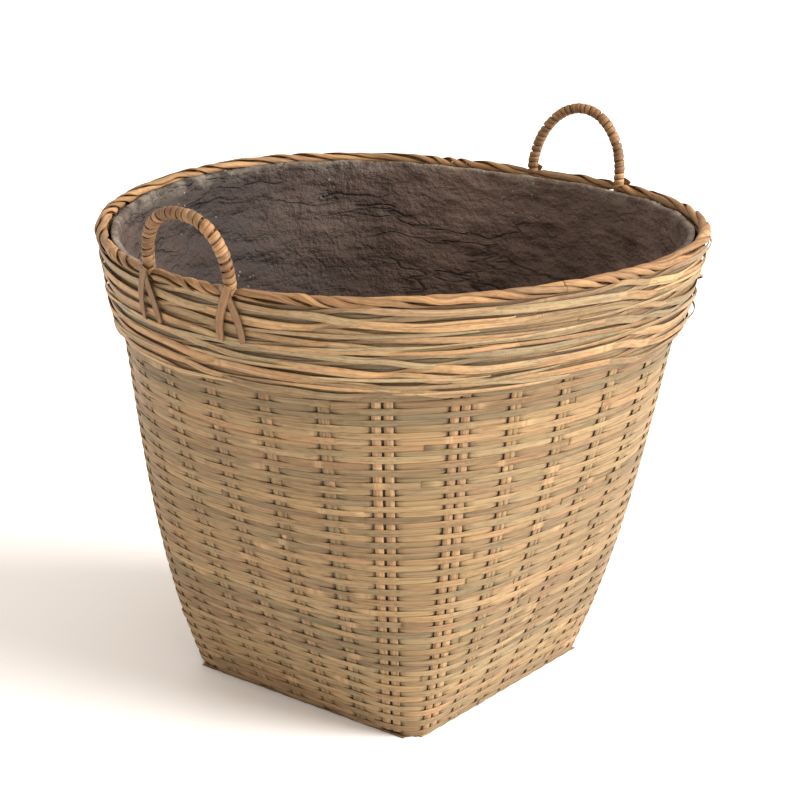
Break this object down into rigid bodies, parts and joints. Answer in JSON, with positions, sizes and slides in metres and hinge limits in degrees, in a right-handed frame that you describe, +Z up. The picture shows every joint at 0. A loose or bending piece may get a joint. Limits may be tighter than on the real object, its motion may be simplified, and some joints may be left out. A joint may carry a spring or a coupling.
{
  "type": "log basket",
  "caption": "Woven cane basket, square at the base and round at the mouth, with a clay lining, a thick collar, a wrapped rim and two loop handles. Holds logs.",
  "frame": {"origin": "centre of the square base, on the floor the basket stands on", "axes": "+Z up; the sides of the square base lie along X and Y; one handle stands over the middle of the -Y side and one over the +Y side"},
  "size_m": [0.5777, 0.5686, 0.5278],
  "materials": {
    "weave": "split bamboo, satin, straw to pale green",
    "stakes": "split bamboo, satin, warm straw",
    "clay": "rough unglazed grey-brown clay coat",
    "collar": "split bamboo, satin, straw, green and orange strips",
    "rim": "split cane, satin, orange tan",
    "cane": "peeled cane",
    "handle_wrap": "split cane wrap, satin",
    "lashing": "split cane, weathered"
  },
  "bodies": {
    "root": {"base_mat": "weave", "stake_x_1": "stakes", "stake_x_2": "stakes", "stake_x_3": "stakes", "stake_x_4": "stakes", "stake_x_5": "stakes", "stake_x_6": "stakes", "stake_x_7": "stakes", "stake_y_1": "stakes", "stake_y_2": "stakes", "stake_y_3": "stakes", "stake_y_4": "stakes", "stake_y_5": "stakes", "stake_y_6": "stakes", "stake_y_7": "stakes", "clay_liner": "clay", "weave_band_01": "weave", "weave_band_02": "weave", "weave_band_03": "weave", "weave_band_04": "weave", "weave_band_05": "weave", "weave_band_06": "weave", "weave_band_07": "weave", "weave_band_08": "weave", "weave_band_09": "weave", "weave_band_10": "weave", "collar_ring_1": "collar", "collar_ring_2": "collar", "collar_ring_3": "collar", "collar_ring_4": "collar", "collar_ring_5": "collar", "rim_wrap": "rim", "handle_core_front": "cane", "handle_wrap_front": "handle_wrap", "lashing_front_a_left": "lashing", "lashing_front_a_right": "lashing", "lashing_front_b_left": "lashing", "lashing_front_b_right": "lashing", "handle_core_back": "cane", "handle_wrap_back": "handle_wrap", "lashing_back_a_left": "lashing", "lashing_back_a_right": "lashing", "lashing_back_b_left": "lashing", "lashing_back_b_right": "lashing"}
  },
  "joints": []
}
